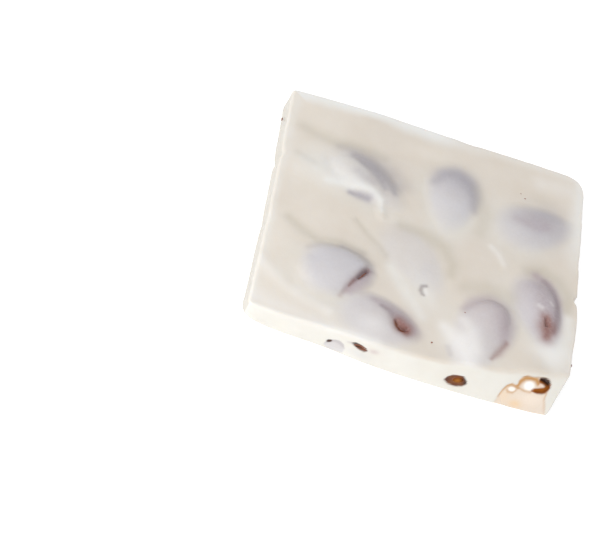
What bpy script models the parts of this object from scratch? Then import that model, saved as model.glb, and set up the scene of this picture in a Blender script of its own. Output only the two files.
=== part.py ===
"""One piece of white chocolate bark with whole almonds.

A slab of white chocolate, poured flat and cut to a piece as wide as a hand.
It lies on its smooth underside. +X runs along the long cut front, +Y to the
back and +Z up, with the origin under the middle of the piece, at its lowest
level. Every almond that reaches the open is a solid of its own, in a pocket
of the chocolate. An almond that the chocolate covers all over is a bump.
"""
import math

import bmesh
import bpy
from mathutils import Matrix, Vector

MM = 0.001
GAP = 0.3 * MM                      # between an almond and its pocket

# The slab
POUR_HEIGHT = 9.3 * MM              # level of the poured top
WAVE_HEIGHT = 0.25 * MM             # slow swell of that level
CUT_HEIGHT = 10.0 * MM              # level at which the upper outline is given
KNIFE_TOP = 16.0 * MM               # the cutting walls end here, above it all
GRID_STEP = 1.75 * MM               # facets of the top
FILM = 0.8 * MM                     # chocolate over a covered almond
BLEND = 0.55 * MM                   # softness where a bump meets the level
BLOCK_HALF = (47.0 * MM, 43.0 * MM) # the block before it is cut to the outline
BLOCK_BOTTOM = -3.0 * MM

# Outline corners, in turn: front left, front right, back right, back left
LOWER_CORNERS = [(-42.3, -35.2), (40.4, -39.3), (42.6, 36.8), (-43.3, 38.8)]
UPPER_CORNERS = [(-41.4, -37.6), (43.2, -31.4), (43.2, 36.9), (-41.8, 39.6)]
LOWER_RADII = [5.5, 0.8, 6.5, 2.0]
UPPER_RADII = [1.4, 1.0, 6.5, 1.5]
# Each side, in turn (front, right, back, left): how far the middle bows out
LOWER_BOWS = [1.9, 1.1, 0.5, -0.5]
UPPER_BOWS = [4.2, 0.4, 0.7, -0.3]
FOOT_RADII = [0.4, 1.0, 2.0, 3.0]   # rounding of the lower edge, side by side
SIDE_POINTS = 22
CORNER_POINTS = 5
FOOT_POINTS = 4

# Nicks left by the knife: side, place along it from 0 to 1, width, and depth,
# which is negative where the chocolate bulges
NICKS = [(3, 0.31, 3.4, 0.5), (3, 0.62, 7.0, 0.3), (1, 0.40, 2.6, 0.9),
         (1, 0.27, 15.0, -0.5), (1, 0.62, 5.0, 0.25), (2, 0.35, 6.0, 0.3),
         (0, 0.22, 18.0, 0.6)]

# Flow ridges in the top: start, end, sideways bow, height, half width
RIDGES = [
    ((-42.0, -23.5), (-20.5, -35.0), -1.2, 0.30, 2.4),
    ((-34.0, 13.8), (-13.0, 5.2), -1.4, 0.60, 2.0),
    ((-40.0, 27.6), (-14.0, 21.6), -0.8, -0.25, 2.4),
    ((-38.5, -5.4), (-24.0, -10.6), -1.2, -0.30, 2.2),
]

# Almonds: centre x, y, z, then length, width, thickness (mm), then yaw from
# +X to the tip, pitch with the tip down, and roll (degrees)
COVERED = {
    "far_left": ((-18.2, 13.4, 6.1), (24.0, 12.4, 8.6), (-31, 2, 0)),
    "far_middle": ((6.2, 15.4, 6.3), (21.0, 13.0, 8.4), (-91, 4, 0)),
    "far_right": ((29.8, 13.8, 6.0), (20.5, 13.6, 8.6), (20, 0, 0)),
    "middle": ((-1.6, -8.6, 5.2), (23.0, 13.0, 7.6), (-50, 0, 0)),
}
SHOWING = {
    "almond_near_left": ((-21.2, -19.6, 6.5), (23.6, 14.6, 9.0), (16, 1, 0)),
    "almond_near_middle": ((-8.4, -31.8, 6.2), (21.0, 14.1, 8.6), (-5, 0, 0)),
    "almond_near_right": ((18.2, -27.1, 5.9), (25.2, 13.8, 8.8), (-109, 11, 0)),
    "almond_right_side": ((33.5, -14.2, 6.3), (22.5, 12.4, 8.6), (-73, 1, 0)),
}
CUT = {
    "almond_cut_corner": ((33.2, -37.6, 4.4), (20.6, 13.4, 9.2), (97, 0, -12)),
    "almond_cut_tip": ((-17.3, -47.0, 3.9), (22.0, 12.5, 8.8), (90, 0, 0)),
}
# The knife reached these, so the cutting walls trim them flush
TRIMMED = ["almond_near_middle", "almond_near_right", *CUT]
# Where a showing almond breaks through the top: start, end, half width, depth
BREAKS = [
    ((-13.8, -18.0), (-16.8, -22.4), 1.0, 1.5),
    ((-4.4, -30.4), (-1.4, -32.9), 1.2, 1.6),
    ((34.9, -18.2), (36.0, -21.2), 1.3, 1.4),
]
BREAK_REACH = 2.6                   # facets are halved this near to a break
ALMOND_AROUND = 16
ALMOND_ALONG = 11
TAPER = 0.24                        # an almond narrows from blunt end to tip


def material(name, colour, roughness):
    mat = bpy.data.materials.new(name)
    mat.use_nodes = True
    shader = mat.node_tree.nodes["Principled BSDF"]
    shader.inputs["Base Color"].default_value = (*colour, 1.0)
    shader.inputs["Roughness"].default_value = roughness
    shader.inputs["Metallic"].default_value = 0.0
    return mat


def new_object(name, bm, mat):
    mesh = bpy.data.meshes.new(name)
    bm.to_mesh(mesh)
    bm.free()
    mesh.materials.append(mat)
    obj = bpy.data.objects.new(name, mesh)
    bpy.context.scene.collection.objects.link(obj)
    return obj


def boolean(target, operation, cutter, solver="EXACT"):
    """Cut or intersect a solid with another, which stays as a guide."""
    modifier = target.modifiers.new(operation.lower(), "BOOLEAN")
    modifier.operation = operation
    modifier.solver = solver
    modifier.object = cutter
    cutter.hide_render = True
    cutter.display_type = "WIRE"


# --- the cutting walls ----------------------------------------------------

def side_offset(side, along, length, bow):
    """How far a side stands out of the straight line between its corners."""
    out = bow * 4.0 * along * (1.0 - along)
    for nick_side, place, width, depth in NICKS:
        if nick_side == side:
            out -= depth * math.exp(-(((along - place) * length) / (width / 2)) ** 2)
    return out


def outline(corners, radii, bows):
    """A closed loop of points around the piece, the same number each time."""
    points = [Vector(corner) for corner in corners]
    loop = []
    for side in range(4):
        start, end = points[side], points[(side + 1) % 4]
        run = end - start
        ahead = run.normalized()
        outward = Vector((ahead.y, -ahead.x))
        first = start + ahead * radii[side]
        last = end - ahead * radii[(side + 1) % 4]
        for i in range(SIDE_POINTS):
            along = i / (SIDE_POINTS - 1)
            offset = side_offset(side, along, run.length, bows[side])
            loop.append(first.lerp(last, along) + outward * offset)
        following = (points[(side + 2) % 4] - end).normalized()
        leave = end + following * radii[(side + 1) % 4]
        for i in range(1, CORNER_POINTS):
            turn = i / CORNER_POINTS
            loop.append(last.lerp(end, turn).lerp(end.lerp(leave, turn), turn))
    return loop


def foot_radius(index):
    """The rounding under a point of the outline, blended around corners."""
    per_side = SIDE_POINTS + CORNER_POINTS - 1
    side, place = divmod(index, per_side)
    turn = max(0.0, (place - SIDE_POINTS + 1) / CORNER_POINTS)
    return FOOT_RADII[side] * (1 - turn) + FOOT_RADII[(side + 1) % 4] * turn


def knife_walls(mat):
    """The solid inside the piece's four sides, open to no side."""
    lower = outline(LOWER_CORNERS, LOWER_RADII, LOWER_BOWS)
    upper = outline(UPPER_CORNERS, UPPER_RADII, UPPER_BOWS)
    count = len(lower)
    rings = []
    for step in range(FOOT_POINTS):
        angle = math.radians(90) * step / (FOOT_POINTS - 1)
        ring = []
        for i in range(count):
            tangent = (lower[(i + 1) % count] - lower[i - 1]).normalized()
            outward = Vector((tangent.y, -tangent.x))
            radius = foot_radius(i)
            height = radius * (1 - math.cos(angle))
            inset = radius * (1 - math.sin(angle))
            flat = lower[i].lerp(upper[i], height * MM / CUT_HEIGHT) - outward * inset
            ring.append(Vector((flat.x * MM, flat.y * MM, height * MM)))
        rings.append(ring)
    top = [lower[i].lerp(upper[i], KNIFE_TOP / CUT_HEIGHT) for i in range(count)]
    rings.append([Vector((p.x * MM, p.y * MM, KNIFE_TOP)) for p in top])

    bm = bmesh.new()
    loops = [[bm.verts.new(p) for p in ring] for ring in rings]
    bm.faces.new(reversed(loops[0]))
    for below, above in zip(loops, loops[1:]):
        for i in range(count):
            j = (i + 1) % count
            bm.faces.new((below[i], below[j], above[j], above[i]))
    bm.faces.new(loops[-1])
    return new_object("knife_walls", bm, mat)


# --- almonds --------------------------------------------------------------

def almond_matrix(place, turn):
    yaw, pitch, roll = (math.radians(angle) for angle in turn)
    centre = Matrix.Translation(Vector(place) * MM)
    return (centre @ Matrix.Rotation(yaw, 4, "Z") @ Matrix.Rotation(pitch, 4, "Y")
            @ Matrix.Rotation(roll, 4, "X"))


def almond(name, spec, mat, grow=0.0):
    """An almond with its tip along its own +X, blunt at the other end."""
    place, (length, width, thickness), turn = spec
    bm = bmesh.new()
    bmesh.ops.create_uvsphere(bm, u_segments=ALMOND_AROUND,
                              v_segments=ALMOND_ALONG, radius=1.0)
    for vert in bm.verts:
        along = vert.co.z
        across = vert.co.x * (1.0 - TAPER * along)
        upward = vert.co.y * (1.0 - TAPER * along)
        vert.co = Vector((along * length, across * width, upward * thickness)) * MM / 2
    bmesh.ops.triangulate(bm, faces=bm.faces)
    bmesh.ops.recalc_face_normals(bm, faces=bm.faces)
    bm.normal_update()
    if grow:
        grown = [vert.co + vert.normal * grow for vert in bm.verts]
        for vert, co in zip(bm.verts, grown):
            vert.co = co
    bmesh.ops.transform(bm, matrix=almond_matrix(place, turn), verts=bm.verts)
    obj = new_object(name, bm, mat)
    obj.data.shade_smooth()
    return obj


# --- the poured top -------------------------------------------------------

def almond_top(x, y, spec):
    """Height of an almond's upper side over a point, falling away outside."""
    (cx, cy, cz), (length, width, thickness), (yaw, pitch, _) = spec
    angle = math.radians(yaw)
    along = ((x - cx) * math.cos(angle) + (y - cy) * math.sin(angle)) / (length / 2)
    across = ((y - cy) * math.cos(angle) - (x - cx) * math.sin(angle)) / (width / 2)
    narrow = 1.0 - TAPER * max(-1.0, min(1.0, along))
    spread = along ** 2 + (across / narrow) ** 2
    level = cz - along * length / 2 * math.tan(math.radians(pitch))
    if spread < 1.0:
        return level + thickness / 2 * narrow * math.sqrt(1.0 - spread)
    return level - 2.0 * thickness * (spread - 1.0)


def stroke(x, y, start, end, bow, half_width):
    """1 on a gently bowed stroke from start to end, fading to 0 beside it."""
    run_x, run_y = end[0] - start[0], end[1] - start[1]
    length = math.hypot(run_x, run_y)
    along = ((x - start[0]) * run_x + (y - start[1]) * run_y) / length
    aside = ((y - start[1]) * run_x - (x - start[0]) * run_y) / length
    share = max(0.0, min(1.0, along / length))
    aside -= bow * 4.0 * share * (1.0 - share)
    beyond = max(0.0, -along, along - length)
    return math.exp(-(aside * aside + beyond * beyond) / half_width ** 2)


def top_height(x, y):
    """Height of the chocolate's top, all in millimetres."""
    level = POUR_HEIGHT / MM
    level += WAVE_HEIGHT / MM * math.sin(0.11 * x + 0.6) * math.cos(0.09 * y - 0.4)
    for start, end, bow, height, half_width in RIDGES:
        level += height * stroke(x, y, start, end, bow, half_width)
    soft = BLEND / MM
    total = 1.0
    for spec in [*COVERED.values(), *SHOWING.values(), CUT["almond_cut_corner"]]:
        rise = almond_top(x, y, spec) + FILM / MM - level
        total += math.exp(rise / soft)
    height = level + soft * math.log(total)
    for start, end, half_width, depth in BREAKS:
        height -= depth * stroke(x, y, start, end, 0.0, half_width)
    return height


def near_break(x, y):
    """Whether a place is within the reach of a break."""
    return any(stroke(x, y, start, end, 0.0, BREAK_REACH) > math.exp(-1)
               for start, end, _, _ in BREAKS)


def poured_block(mat):
    """A block with the poured top, larger than the piece all round."""
    half_x, half_y = BLOCK_HALF
    columns = round(2 * half_x / GRID_STEP)
    rows = round(2 * half_y / GRID_STEP)
    bm = bmesh.new()
    bmesh.ops.create_grid(bm, x_segments=columns, y_segments=rows, size=1.0)
    for vert in bm.verts:
        vert.co = Vector((vert.co.x * half_x, vert.co.y * half_y, 0.0))
    close = []
    for edge in bm.edges:
        middle = (edge.verts[0].co + edge.verts[1].co) / 2
        if near_break(middle.x / MM, middle.y / MM):
            close.append(edge)
    bmesh.ops.subdivide_edges(bm, edges=close, cuts=1, use_grid_fill=True)
    for vert in bm.verts:
        vert.co.z = top_height(vert.co.x / MM, vert.co.y / MM) * MM
    border = [edge for edge in bm.edges if edge.is_boundary]
    skirt = bmesh.ops.extrude_edge_only(bm, edges=border)
    for item in skirt["geom"]:
        if isinstance(item, bmesh.types.BMVert):
            item.co.z = BLOCK_BOTTOM
    rim = [edge for edge in bm.edges if edge.is_boundary]
    bmesh.ops.contextual_create(bm, geom=rim)
    bmesh.ops.triangulate(bm, faces=bm.faces)
    bmesh.ops.recalc_face_normals(bm, faces=bm.faces)
    return new_object("white_chocolate", bm, mat)


def build():
    for obj in list(bpy.data.objects):
        bpy.data.objects.remove(obj, do_unlink=True)
    chocolate = material("white_chocolate", (0.78, 0.71, 0.62), 0.38)
    skin = material("almond_skin", (0.27, 0.12, 0.06), 0.55)
    cut_face = material("almond_flesh", (0.68, 0.52, 0.33), 0.6)
    guide = material("guide", (0.5, 0.5, 0.5), 0.5)

    walls = knife_walls(guide)
    slab = poured_block(chocolate)
    boolean(slab, "INTERSECT", walls, "MANIFOLD")
    for name, spec in {**SHOWING, **CUT}.items():
        nut = almond(name, spec, cut_face if name in CUT else skin)
        if name in TRIMMED:
            boolean(nut, "INTERSECT", walls)
        pocket = almond(name + "_pocket", spec, guide, GAP)
        boolean(slab, "DIFFERENCE", pocket, "MANIFOLD")


build()
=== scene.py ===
"""Looks of one piece of white chocolate bark with whole almonds.

The poured slab, the almonds that reach the open and a few flecks of almond
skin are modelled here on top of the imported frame, then finished, lit and
framed. All the shape numbers are in millimetres, +X along the cut front,
+Y to the back and +Z up.
"""

import math

import bpy
import numpy as np
from mathutils import Matrix, Vector


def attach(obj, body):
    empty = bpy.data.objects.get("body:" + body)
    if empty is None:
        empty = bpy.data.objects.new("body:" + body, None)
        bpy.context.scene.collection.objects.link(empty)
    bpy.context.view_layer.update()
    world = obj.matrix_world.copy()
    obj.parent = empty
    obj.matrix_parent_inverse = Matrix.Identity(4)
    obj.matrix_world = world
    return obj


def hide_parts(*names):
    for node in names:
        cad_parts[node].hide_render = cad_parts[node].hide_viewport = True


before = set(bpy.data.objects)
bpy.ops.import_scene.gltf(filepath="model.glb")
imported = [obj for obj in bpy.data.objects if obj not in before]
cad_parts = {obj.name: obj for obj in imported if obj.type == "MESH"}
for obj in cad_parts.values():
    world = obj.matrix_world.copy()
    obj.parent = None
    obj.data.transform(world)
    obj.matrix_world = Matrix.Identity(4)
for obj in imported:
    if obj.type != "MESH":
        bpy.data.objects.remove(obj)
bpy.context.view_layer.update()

MM = 0.001
STUDIO = 1.15                       # how bright a white surface is in this light

# --- the numbers of the piece, as the frame has them ----------------------

POUR_LEVEL = 9.3                    # the poured top
CUT_HEIGHT = 10.0                   # level at which the upper outline is given
# Outline corners, in turn: front left, front right, back right, back left
LOWER_CORNERS = [(-42.3, -35.2), (40.4, -39.3), (42.6, 36.8), (-43.3, 38.8)]
UPPER_CORNERS = [(-41.4, -37.6), (43.2, -31.4), (43.2, 36.9), (-41.8, 39.6)]
LOWER_RADII = [5.5, 0.8, 6.5, 2.0]
UPPER_RADII = [1.4, 1.0, 6.5, 1.5]
# Each side, in turn (front, right, back, left): how far the middle bows out
LOWER_BOWS = [1.9, 1.1, 0.5, -0.5]
UPPER_BOWS = [4.2, 0.4, 0.7, -0.3]
FOOT_RADII = [0.4, 1.0, 2.0, 3.0]   # rounding of the lower edge, side by side
RIM_RADII = [0.9, 0.55, 0.8, 0.8]   # rounding of the upper edge, side by side
FRONT, RIGHT, BACK, LEFT = range(4)
# Nicks left by the knife: side, place along it from 0 to 1, width, and depth,
# which is negative where the chocolate bulges
NICKS = [(LEFT, 0.31, 3.4, 0.5), (LEFT, 0.62, 7.0, 0.3), (RIGHT, 0.40, 2.6, 0.9),
         (RIGHT, 0.27, 15.0, -0.5), (RIGHT, 0.62, 5.0, 0.25), (BACK, 0.35, 6.0, 0.3),
         (FRONT, 0.22, 18.0, 0.6)]

# Almonds: centre, then length, width, thickness, then yaw from +X to the tip,
# pitch with the tip down, and roll (degrees)
ALMONDS = {
    "far_left": ((-18.2, 13.4, 6.1), (24.0, 12.4, 8.6), (-31, 2, 0)),
    "far_middle": ((6.2, 15.4, 6.3), (21.0, 13.0, 8.4), (-91, 4, 0)),
    "far_right": ((29.8, 13.8, 6.0), (20.5, 13.6, 8.6), (20, 0, 0)),
    "middle": ((-1.6, -8.6, 5.2), (23.0, 13.0, 7.6), (-50, 0, 0)),
    "near_left": ((-21.2, -19.6, 6.5), (23.6, 14.6, 9.0), (16, 1, 0)),
    "near_middle": ((-8.4, -31.8, 6.2), (21.0, 14.1, 8.6), (-5, 0, 0)),
    "near_right": ((18.2, -27.1, 5.9), (25.2, 13.8, 8.8), (-109, 11, 0)),
    "right_side": ((33.5, -14.2, 6.3), (22.5, 12.4, 8.6), (-73, 1, 0)),
    "cut_corner": ((33.2, -37.6, 4.4), (20.6, 13.4, 9.2), (97, 0, -12)),
    "cut_tip": ((-17.3, -47.0, 3.9), (22.0, 12.5, 8.8), (90, 0, 0)),
}
TAPER = 0.24                        # an almond narrows from blunt end to tip

# The mound over each almond: how high it stands over the pour, then, on the
# side the chocolate came from and on the other, how far out it reaches (the
# almond's own side is 1) and how square its shoulder is, and last how much
# further it reaches along the almond than across
MOUNDS = {
    "far_left": (1.6, 1.45, 2.4, 1.0, 2.0, 1.0),
    "far_middle": (1.8, 1.4, 2.6, 1.35, 2.0, 1.0),
    "far_right": (1.5, 1.35, 2.6, 1.35, 2.0, 1.0),
    "middle": (0.5, 1.3, 2.4, 1.3, 2.0, 1.0),
    "near_left": (2.2, 1.30, 4.2, 1.45, 2.0, 0.76),
    "near_middle": (1.6, 1.25, 3.4, 1.45, 2.0, 0.95),
    "near_right": (1.7, 1.3, 3.0, 1.3, 2.0, 1.0),
    "right_side": (1.4, 1.02, 4.0, 1.1, 2.0, 1.0),
    "cut_corner": (0.5, 1.1, 3.0, 1.1, 2.0, 1.0),
}
THIN_FILM = 0.3                     # least chocolate over an almond's skin
FILM_BLEND = 0.15                   # how softly the film runs into the pour
FLOW = (-0.6, -0.8)                 # the way the chocolate ran as it set

# Flow ridges in the top: (x, y, half width) points, then height
RIDGES = [
    ([(-41, -22, 2), (-33.2, -28.5, 2.2), (-27.8, -30.8, 2.2), (-21.5, -33, 2)], 0.3),
    ([(-35, 12.6, 4), (-27, 11.2, 3.2), (-21, 10.4, 2.4), (-16, 9.2, 1.6), (-12.9, 7, 1.4),
      (-11.9, 3, 1.3)], 0.5),
    ([(-22, 20.2, 1.4), (-17.5, 17.6, 1.5), (-13.6, 14, 1.3), (-12.2, 10.6, 1)], -0.22),
    ([(-37, 26.8, 2.2), (-32, 25, 2.2), (-27, 24, 2), (-20, 25, 1.8)], -0.2),
    ([(-36.5, -6, 1.8), (-32.5, -9, 1.8), (-27, -10.6, 1.5)], -0.18),
    ([(18, 3.9, 0.8), (20.9, 1.4, 1), (22.9, -2.1, 1)], 0.10),
    ([(-18.3, -0.5, 1.3), (-14.4, -4.5, 1.3), (-11.3, -7, 1.3), (-8, -11.5, 1.2)], -0.10),
    ([(-8, 4, 1.8), (0, 2.6, 2), (8.5, -2.5, 2), (10.5, -9, 1.8)], 0.12),
    ([(21.7, -33.4, 0.8), (23.6, -30.9, 0.9), (25.4, -27.7, 0.8)], -0.18),
    ([(-12.4, -16.4, 1.8), (-15.2, -20.4, 2.6), (-18.6, -26, 2.2)], -0.40),
    ([(-13.2, -16.6, 0.9), (-14.5, -19.1, 1), (-16.1, -21.9, 0.9), (-18.2, -25.6, 0.7)], -0.30),
    ([(-4.6, -30, 1.8), (-3, -32.2, 2), (-0.6, -32.4, 1.8)], -0.25),
]

# Where the film is torn over an almond: its name, (x, y, half width) points
TEARS = [
    ("near_left", [(-13.4, -17.2, 0.24), (-14.3, -18.8, 0.30), (-15.3, -20.5, 0.2)]),
    ("near_middle", [(-4, -30.6, 0.22), (-3.4, -31.7, 0.34), (-2.5, -32.3, 0.38)]),
    ("near_middle", [(-2.5, -32.3, 0.4), (-1.7, -32.4, 0.32), (-1, -32.1, 0.24)]),
    ("right_side", [(34.9, -16.4, 0.2), (35.1, -17.4, 0.28), (35.3, -18.5, 0.2)]),
]
TEAR_SLOPE = 2.3                    # how much wider the film thins beside a tear
TEAR_EDGE = 0.12                    # film left beside a tear
TEAR_DEPTH = 0.06                   # the open part, below the skin

CUT_SET_IN = 0.03                   # a cut almond's face behind the front wall
CUT_STEP = 0.14                     # the wall's step back where one shows
CUT_CLEARANCE = 0.03                # of a cut almond over the ground
COLUMNS, ROWS = 240, 220            # of the poured top
RIM_STEPS, WALL_STEPS, FOOT_STEPS = 5, 24, 4
LAST_ROW = RIM_STEPS + WALL_STEPS + FOOT_STEPS
UNDERSIDE_STEPS = (0.96, 0.8, 0.6)  # how much each ring of it shrinks
CHIP_DEPTHS = [0.05, 0.3, 0.35, 0.12]   # of the rim's chips, side by side
SCALLOPS = [0.0, 0.12, 0.15, 0.0]   # how deep the walls are scalloped
RIM_HIGHLIGHT_BANDS = [0.04, 0.09, 0.09, 0.07]    # how far in the painted rim highlight reaches, side by side
FACE_SHARE = 0.5                    # of a cut almond's rings that are its face


# --- maths on whole arrays ------------------------------------------------

def tone(red, green, blue):
    """A surface's colour, from the screen levels it shows in this light."""
    levels = np.array([red, green, blue]) / 255.0
    light = np.where(levels <= 0.04045, levels / 12.92, ((levels + 0.055) / 1.055) ** 2.4)
    return light / STUDIO


def ease(value, low, high):
    """0 below low, 1 above high and smooth between."""
    share = np.clip((value - low) / (high - low), 0.0, 1.0)
    return share * share * (3.0 - 2.0 * share)


def mixed(colours, other, share):
    return colours + (np.asarray(other) - colours) * np.asarray(share)[..., None]


def lattice(i, j, k, seed):
    """A fixed random number from -1 to 1 for each corner of a lattice."""
    number = (i * 374761393 + j * 668265263 + k * 1103515245 + seed * 97463477) & 0xFFFFFFFF
    number = ((number ^ (number >> 13)) * 1274126177) & 0xFFFFFFFF
    return ((number ^ (number >> 16)) & 0xFFFF) / 32767.5 - 1.0


def grain(x, y, z, size, seed):
    """Smooth random swell from -1 to 1, its lumps about size across."""
    places = [np.asarray(v, float) / size + 500.0 for v in np.broadcast_arrays(x, y, z)]
    whole = [np.floor(v).astype(np.int64) for v in places]
    part = [v - w for v, w in zip(places, whole)]
    part = [p * p * (3.0 - 2.0 * p) for p in part]
    total = 0.0
    for a in (0, 1):
        for b in (0, 1):
            for c in (0, 1):
                weight = ((part[0] if a else 1 - part[0]) * (part[1] if b else 1 - part[1])
                          * (part[2] if c else 1 - part[2]))
                total = total + weight * lattice(whole[0] + a, whole[1] + b, whole[2] + c, seed)
    return total


def from_line(x, y, start, end):
    """How far along a line, 0 to 1, each place lies, and how far from it."""
    run_x, run_y = end[0] - start[0], end[1] - start[1]
    x, y = x - start[0], y - start[1]
    share = np.clip((x * run_x + y * run_y) / (run_x ** 2 + run_y ** 2), 0, 1)
    return share, np.hypot(x - share * run_x, y - share * run_y)


def turned(x, y, centre, angle):
    """Places along and across an axis at an angle, in degrees."""
    x, y, angle = x - centre[0], y - centre[1], math.radians(angle)
    return (x * math.cos(angle) + y * math.sin(angle),
            y * math.cos(angle) - x * math.sin(angle))


def unit(steps):
    return steps / np.hypot(steps[:, 0], steps[:, 1])[:, None]


def stroke(x, y, points):
    """1 on a line through (x, y, half width) points, fading beside it."""
    best = np.zeros(np.shape(x))
    for start, end in zip(points, points[1:]):
        share, away = from_line(x, y, start, end)
        half = start[2] + (end[2] - start[2]) * share
        best = np.maximum(best, np.exp(-(away / half) ** 2))
    return best


def blob(x, y, centre, halves, turn=0.0):
    """1 at the middle of an oval, fading to about a third at its edge."""
    along, across = turned(x, y, centre, turn)
    return np.exp(-(along / halves[0]) ** 2 - (across / halves[1]) ** 2)


def inside(x, y, corners, soft):
    """1 inside a closed shape, 0 outside, with a soft edge."""
    within = np.zeros(np.shape(x), bool)
    away = np.full(np.shape(x), 1e9)
    for (ax, ay), (bx, by) in zip(corners, corners[1:] + corners[:1]):
        crosses = ((ay > y) != (by > y)) & (x < (bx - ax) * (y - ay) / (by - ay + 1e-12) + ax)
        within ^= crosses
        away = np.minimum(away, from_line(x, y, (ax, ay), (bx, by))[1])
    return ease(np.where(within, away, -away), -soft, soft)


# --- the cut outline ------------------------------------------------------

def side_line(side, share, corners, radii, bows):
    """Points along a side, from the middle of one corner to the next."""
    points = [np.array(corner) for corner in corners]
    start, end = points[side], points[(side + 1) % 4]
    before, after = points[side - 1], points[(side + 2) % 4]
    run = end - start
    length = np.hypot(*run)
    ahead = run / length
    outward = np.array([ahead[1], -ahead[0]])
    first = start + ahead * radii[side]
    last = end - ahead * radii[(side + 1) % 4]
    arrive = start - (start - before) / np.hypot(*(start - before)) * radii[side]
    leave = end + (after - end) / np.hypot(*(after - end)) * radii[(side + 1) % 4]
    corner_share = [0.4 * (LOWER_RADII[n] + UPPER_RADII[n]) / length
                    for n in (side, (side + 1) % 4)]
    along = (share - corner_share[0]) / (1 - sum(corner_share))
    straight = np.clip(along, 0, 1)
    offset = bows[side] * 4.0 * straight * (1.0 - straight)
    for nick_side, place, width, depth in NICKS:
        if nick_side == side:
            offset = offset - depth * np.exp(-(((straight - place) * length) / (width / 2)) ** 2)
    line = first + (last - first) * straight[:, None] + outward * offset[:, None]

    def bend(a, corner, b, turn):
        turn = turn[:, None]
        return a * (1 - turn) ** 2 + corner * 2 * turn * (1 - turn) + b * turn ** 2

    early = bend(arrive, start, first, 0.5 + 0.5 * np.clip(share / corner_share[0], 0, 1))
    late = bend(last, end, leave,
                0.5 * np.clip((share - 1 + corner_share[1]) / corner_share[1], 0, 1))
    line = np.where((along < 0)[:, None], early, line)
    return np.where((along > 1)[:, None], late, line)


def wall_point(side, share, height):
    """Where the cut wall stands, by side, share of the side and height."""
    lower = side_line(side, share, LOWER_CORNERS, LOWER_RADII, LOWER_BOWS)
    upper = side_line(side, share, UPPER_CORNERS, UPPER_RADII, UPPER_BOWS)
    return lower + (upper - lower) * (np.asarray(height) / CUT_HEIGHT)[..., None]


def front_wall(x, z):
    """The y of the front wall at a place across it."""
    low, high = np.zeros(np.shape(x)), np.ones(np.shape(x))
    for _ in range(26):
        middle = (low + high) / 2
        short = wall_point(FRONT, middle, z)[:, 0] < x
        low, high = np.where(short, middle, low), np.where(short, high, middle)
    return wall_point(FRONT, low, z)[:, 1]


# --- the poured top -------------------------------------------------------

def own_place(x, y, spec):
    """A place over an almond, along and across it, 1 at its sides."""
    centre, (length, width, _), (yaw, _, _) = spec
    along, across = turned(x, y, centre, yaw)
    return along / (length / 2), across / (width / 2)


def almond_top(x, y, spec):
    """Height of an almond's upper side over a point, falling away outside."""
    along, across = own_place(x, y, spec)
    (_, _, cz), (length, _, thickness), (_, pitch, _) = spec
    narrow = 1.0 - TAPER * np.clip(along, -1.0, 1.0)
    spread = along ** 2 + (across / narrow) ** 2
    level = cz - along * length / 2 * math.tan(math.radians(pitch))
    over = level + thickness / 2 * narrow * np.sqrt(np.clip(1.0 - spread, 0, 1))
    beside = level - 2.0 * thickness * (spread - 1.0)
    return np.where(spread < 1.0, over, beside)


def downstream(x, y, spec):
    """-1 on the side of an almond that the flow came from, +1 on the other."""
    (cx, cy, _), (length, width, _), _ = spec
    return ((x - cx) * FLOW[0] + (y - cy) * FLOW[1]) / (0.25 * (length + width))


def mound_place(x, y, name):
    """How far out a place is on a mound, and how far upstream, 0 to 1."""
    spec = ALMONDS[name]
    stretch = MOUNDS[name][5]
    along, across = own_place(x, y, spec)
    upstream = ease(-downstream(x, y, spec), -0.6, 0.6)
    narrow = 1.0 - TAPER * np.clip(along, -1, 1)
    return np.hypot(along / stretch, across / narrow), upstream


def poured_top(x, y):
    """Height of the chocolate's top."""
    level = POUR_LEVEL + 0.25 * np.sin(0.11 * x + 0.6) * np.cos(0.09 * y - 0.4)
    level = level + 0.05 * grain(x, y, 0.0, 9.0, 3) + 0.012 * grain(x, y, 0.0, 2.6, 4)
    total = np.zeros(np.shape(x))
    for name, (rise, reach, shoulder, lee_reach, lee_shoulder, _) in MOUNDS.items():
        away, upstream = mound_place(x, y, name)
        reach = lee_reach + (reach - lee_reach) * upstream
        shoulder = lee_shoulder + (shoulder - lee_shoulder) * upstream
        share = np.clip(away / reach, 0, 1)
        total = total + (rise * (1.0 - share ** shoulder) ** 2) ** 4
    height = level + total ** 0.25
    for points, rise in RIDGES:
        height = height + rise * stroke(x, y, points)
    for name in MOUNDS:
        over = (almond_top(x, y, ALMONDS[name]) + THIN_FILM - height) / FILM_BLEND
        height = height + FILM_BLEND * np.log1p(np.exp(np.minimum(over, 20)))
    for name, points in TEARS:
        skin = almond_top(x, y, ALMONDS[name])
        around = [(px, py, TEAR_SLOPE * half) for px, py, half in points]
        for thinned, share in ((skin + TEAR_EDGE, ease(stroke(x, y, around), 0.05, 0.9)),
                               (skin - TEAR_DEPTH, ease(stroke(x, y, points), 0.35, 0.7))):
            height = height + (np.minimum(thinned, height) - height) * share
    return height


# --- colours laid on the chocolate ----------------------------------------

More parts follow.
